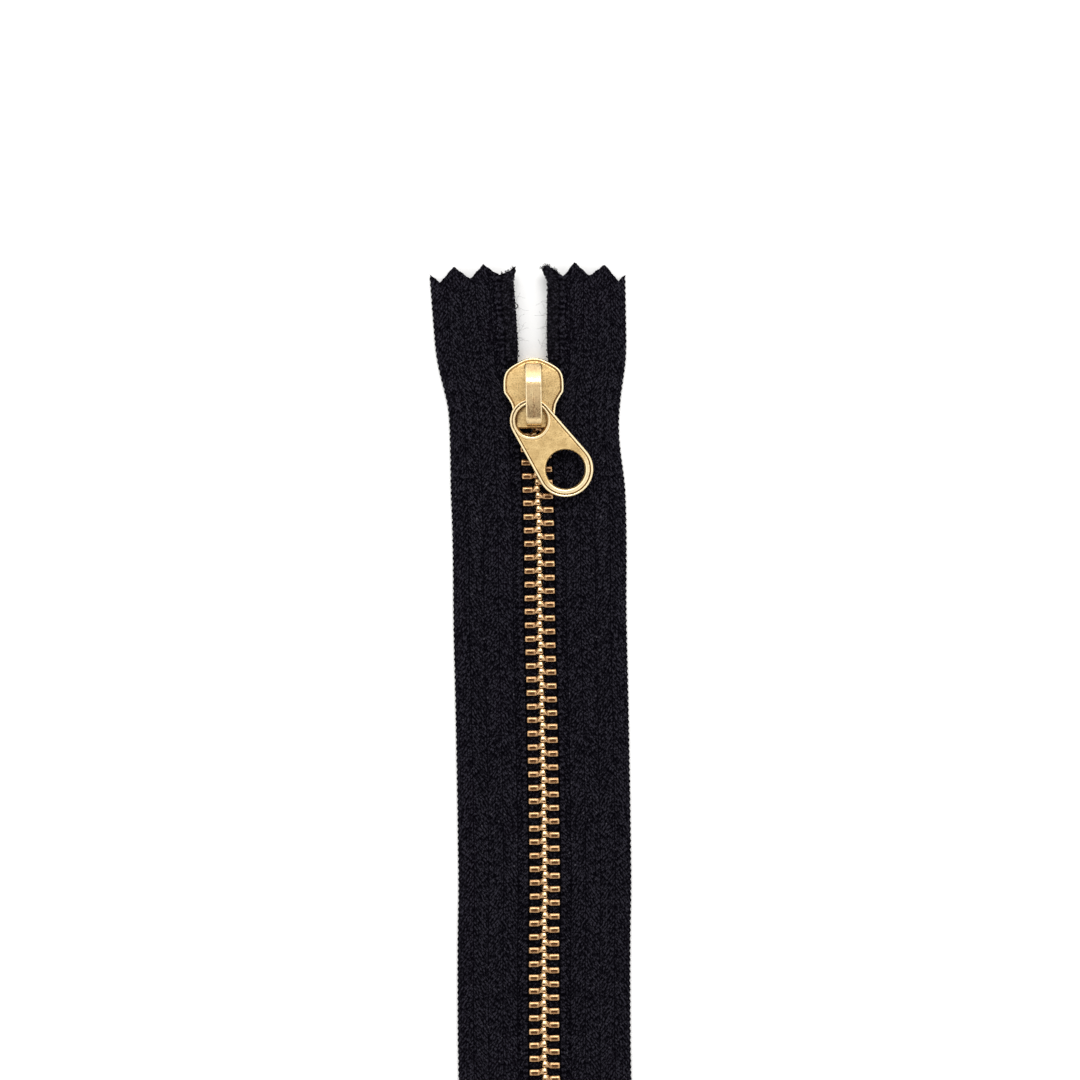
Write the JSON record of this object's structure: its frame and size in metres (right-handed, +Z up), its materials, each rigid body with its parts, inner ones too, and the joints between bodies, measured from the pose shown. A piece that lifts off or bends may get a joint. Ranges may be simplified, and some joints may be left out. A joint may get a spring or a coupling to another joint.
{
  "type": "zipper",
  "caption": "Closed-end metal zipper: woven tapes with clamped brass teeth, stops at both ends and a self-locking slider with a ring pull tab.",
  "frame": {"origin": "middle of the length on the chain's centre line, at the height of the table it lies on", "axes": "+Y along the chain towards the slider end, +X to the right, +Z up from the table"},
  "size_m": [0.0366, 0.215, 0.0081],
  "materials": {
    "tape_fabric": "matt black herringbone-woven tape",
    "tooth_brass": "polished pinkish brass with dark recesses",
    "slider_gilt": "satin pale gilt with polished rims",
    "spring_steel": "bright spring strip"
  },
  "bodies": {
    "bottom_end": {"bottom_stop": "tooth_brass", "left_tape_tail": "tape_fabric", "right_tape_tail": "tape_fabric", "left_teeth_01": "tooth_brass", "right_teeth_01": "tooth_brass"},
    "left_stringer": {"left_tape": "tape_fabric", "left_cord": "tape_fabric", "left_top_stop": "tooth_brass", "left_teeth_02": "tooth_brass", "left_teeth_03": "tooth_brass", "left_teeth_04": "tooth_brass", "left_teeth_05": "tooth_brass", "left_teeth_06": "tooth_brass", "left_teeth_07": "tooth_brass", "left_teeth_08": "tooth_brass", "left_teeth_09": "tooth_brass", "left_teeth_10": "tooth_brass", "left_teeth_11": "tooth_brass", "left_teeth_12": "tooth_brass", "left_teeth_13": "tooth_brass", "left_teeth_14": "tooth_brass", "left_teeth_15": "tooth_brass", "left_teeth_16": "tooth_brass", "left_teeth_17": "tooth_brass", "left_teeth_18": "tooth_brass", "left_teeth_19": "tooth_brass", "left_teeth_20": "tooth_brass", "left_teeth_21": "tooth_brass", "left_teeth_22": "tooth_brass", "left_teeth_23": "tooth_brass"},
    "right_stringer": {"right_tape": "tape_fabric", "right_cord": "tape_fabric", "right_top_stop": "tooth_brass", "right_teeth_02": "tooth_brass", "right_teeth_03": "tooth_brass", "right_teeth_04": "tooth_brass", "right_teeth_05": "tooth_brass", "right_teeth_06": "tooth_brass", "right_teeth_07": "tooth_brass", "right_teeth_08": "tooth_brass", "right_teeth_09": "tooth_brass", "right_teeth_10": "tooth_brass", "right_teeth_11": "tooth_brass", "right_teeth_12": "tooth_brass", "right_teeth_13": "tooth_brass", "right_teeth_14": "tooth_brass", "right_teeth_15": "tooth_brass", "right_teeth_16": "tooth_brass", "right_teeth_17": "tooth_brass", "right_teeth_18": "tooth_brass", "right_teeth_19": "tooth_brass", "right_teeth_20": "tooth_brass", "right_teeth_21": "tooth_brass", "right_teeth_22": "tooth_brass", "right_teeth_23": "tooth_brass"},
    "slider": {"slider_body": "slider_gilt", "slider_crown": "slider_gilt"},
    "pull": {"pull_tab": "slider_gilt"},
    "lock": {"lock_spring": "spring_steel"}
  },
  "joints": [
    {"name": "slider_travel", "type": "slide", "parent": "bottom_end", "child": "slider", "axis": [0, -1, 0], "range_m": [0, 0.16764]},
    {"name": "left_opening", "type": "hinge", "parent": "bottom_end", "child": "left_stringer", "pos_m": [0, -0.0865, 0.00228], "axis": [0, 0, 1], "range_deg": [0, 13.2], "deforming": ["left_tape", "left_cord", "left_top_stop", "left_teeth_02", "left_teeth_03", "left_teeth_04", "left_teeth_05", "left_teeth_06", "left_teeth_07", "left_teeth_08", "left_teeth_09", "left_teeth_10", "left_teeth_11", "left_teeth_12", "left_teeth_13", "left_teeth_14", "left_teeth_15", "left_teeth_16", "left_teeth_17", "left_teeth_18", "left_teeth_19", "left_teeth_20", "left_teeth_21", "left_teeth_22", "left_teeth_23"]},
    {"name": "right_opening", "type": "hinge", "parent": "bottom_end", "child": "right_stringer", "pos_m": [0, -0.0865, 0.00228], "axis": [0, 0, -1], "range_deg": [0, 13.2], "deforming": ["right_tape", "right_cord", "right_top_stop", "right_teeth_02", "right_teeth_03", "right_teeth_04", "right_teeth_05", "right_teeth_06", "right_teeth_07", "right_teeth_08", "right_teeth_09", "right_teeth_10", "right_teeth_11", "right_teeth_12", "right_teeth_13", "right_teeth_14", "right_teeth_15", "right_teeth_16", "right_teeth_17", "right_teeth_18", "right_teeth_19", "right_teeth_20", "right_teeth_21", "right_teeth_22", "right_teeth_23"]},
    {"name": "pull_flip", "type": "hinge", "parent": "slider", "child": "pull", "pos_m": [0, 0.08153, 0.00553], "axis": [-1, 0, 0], "range_deg": [0, 150]},
    {"name": "lock_lift", "type": "hinge", "parent": "slider", "child": "lock", "pos_m": [0, 0.08685, 0.00485], "axis": [-1, 0, 0], "range_deg": [0, 4.1]}
  ],
  "couplings": [
    {"joint": "left_opening", "follows": "slider_travel", "rad_per_m": 1.3535},
    {"joint": "right_opening", "follows": "slider_travel", "rad_per_m": 1.3535},
    {"joint": "lock_lift", "follows": "pull_flip", "ratio": 0.026667}
  ]
}
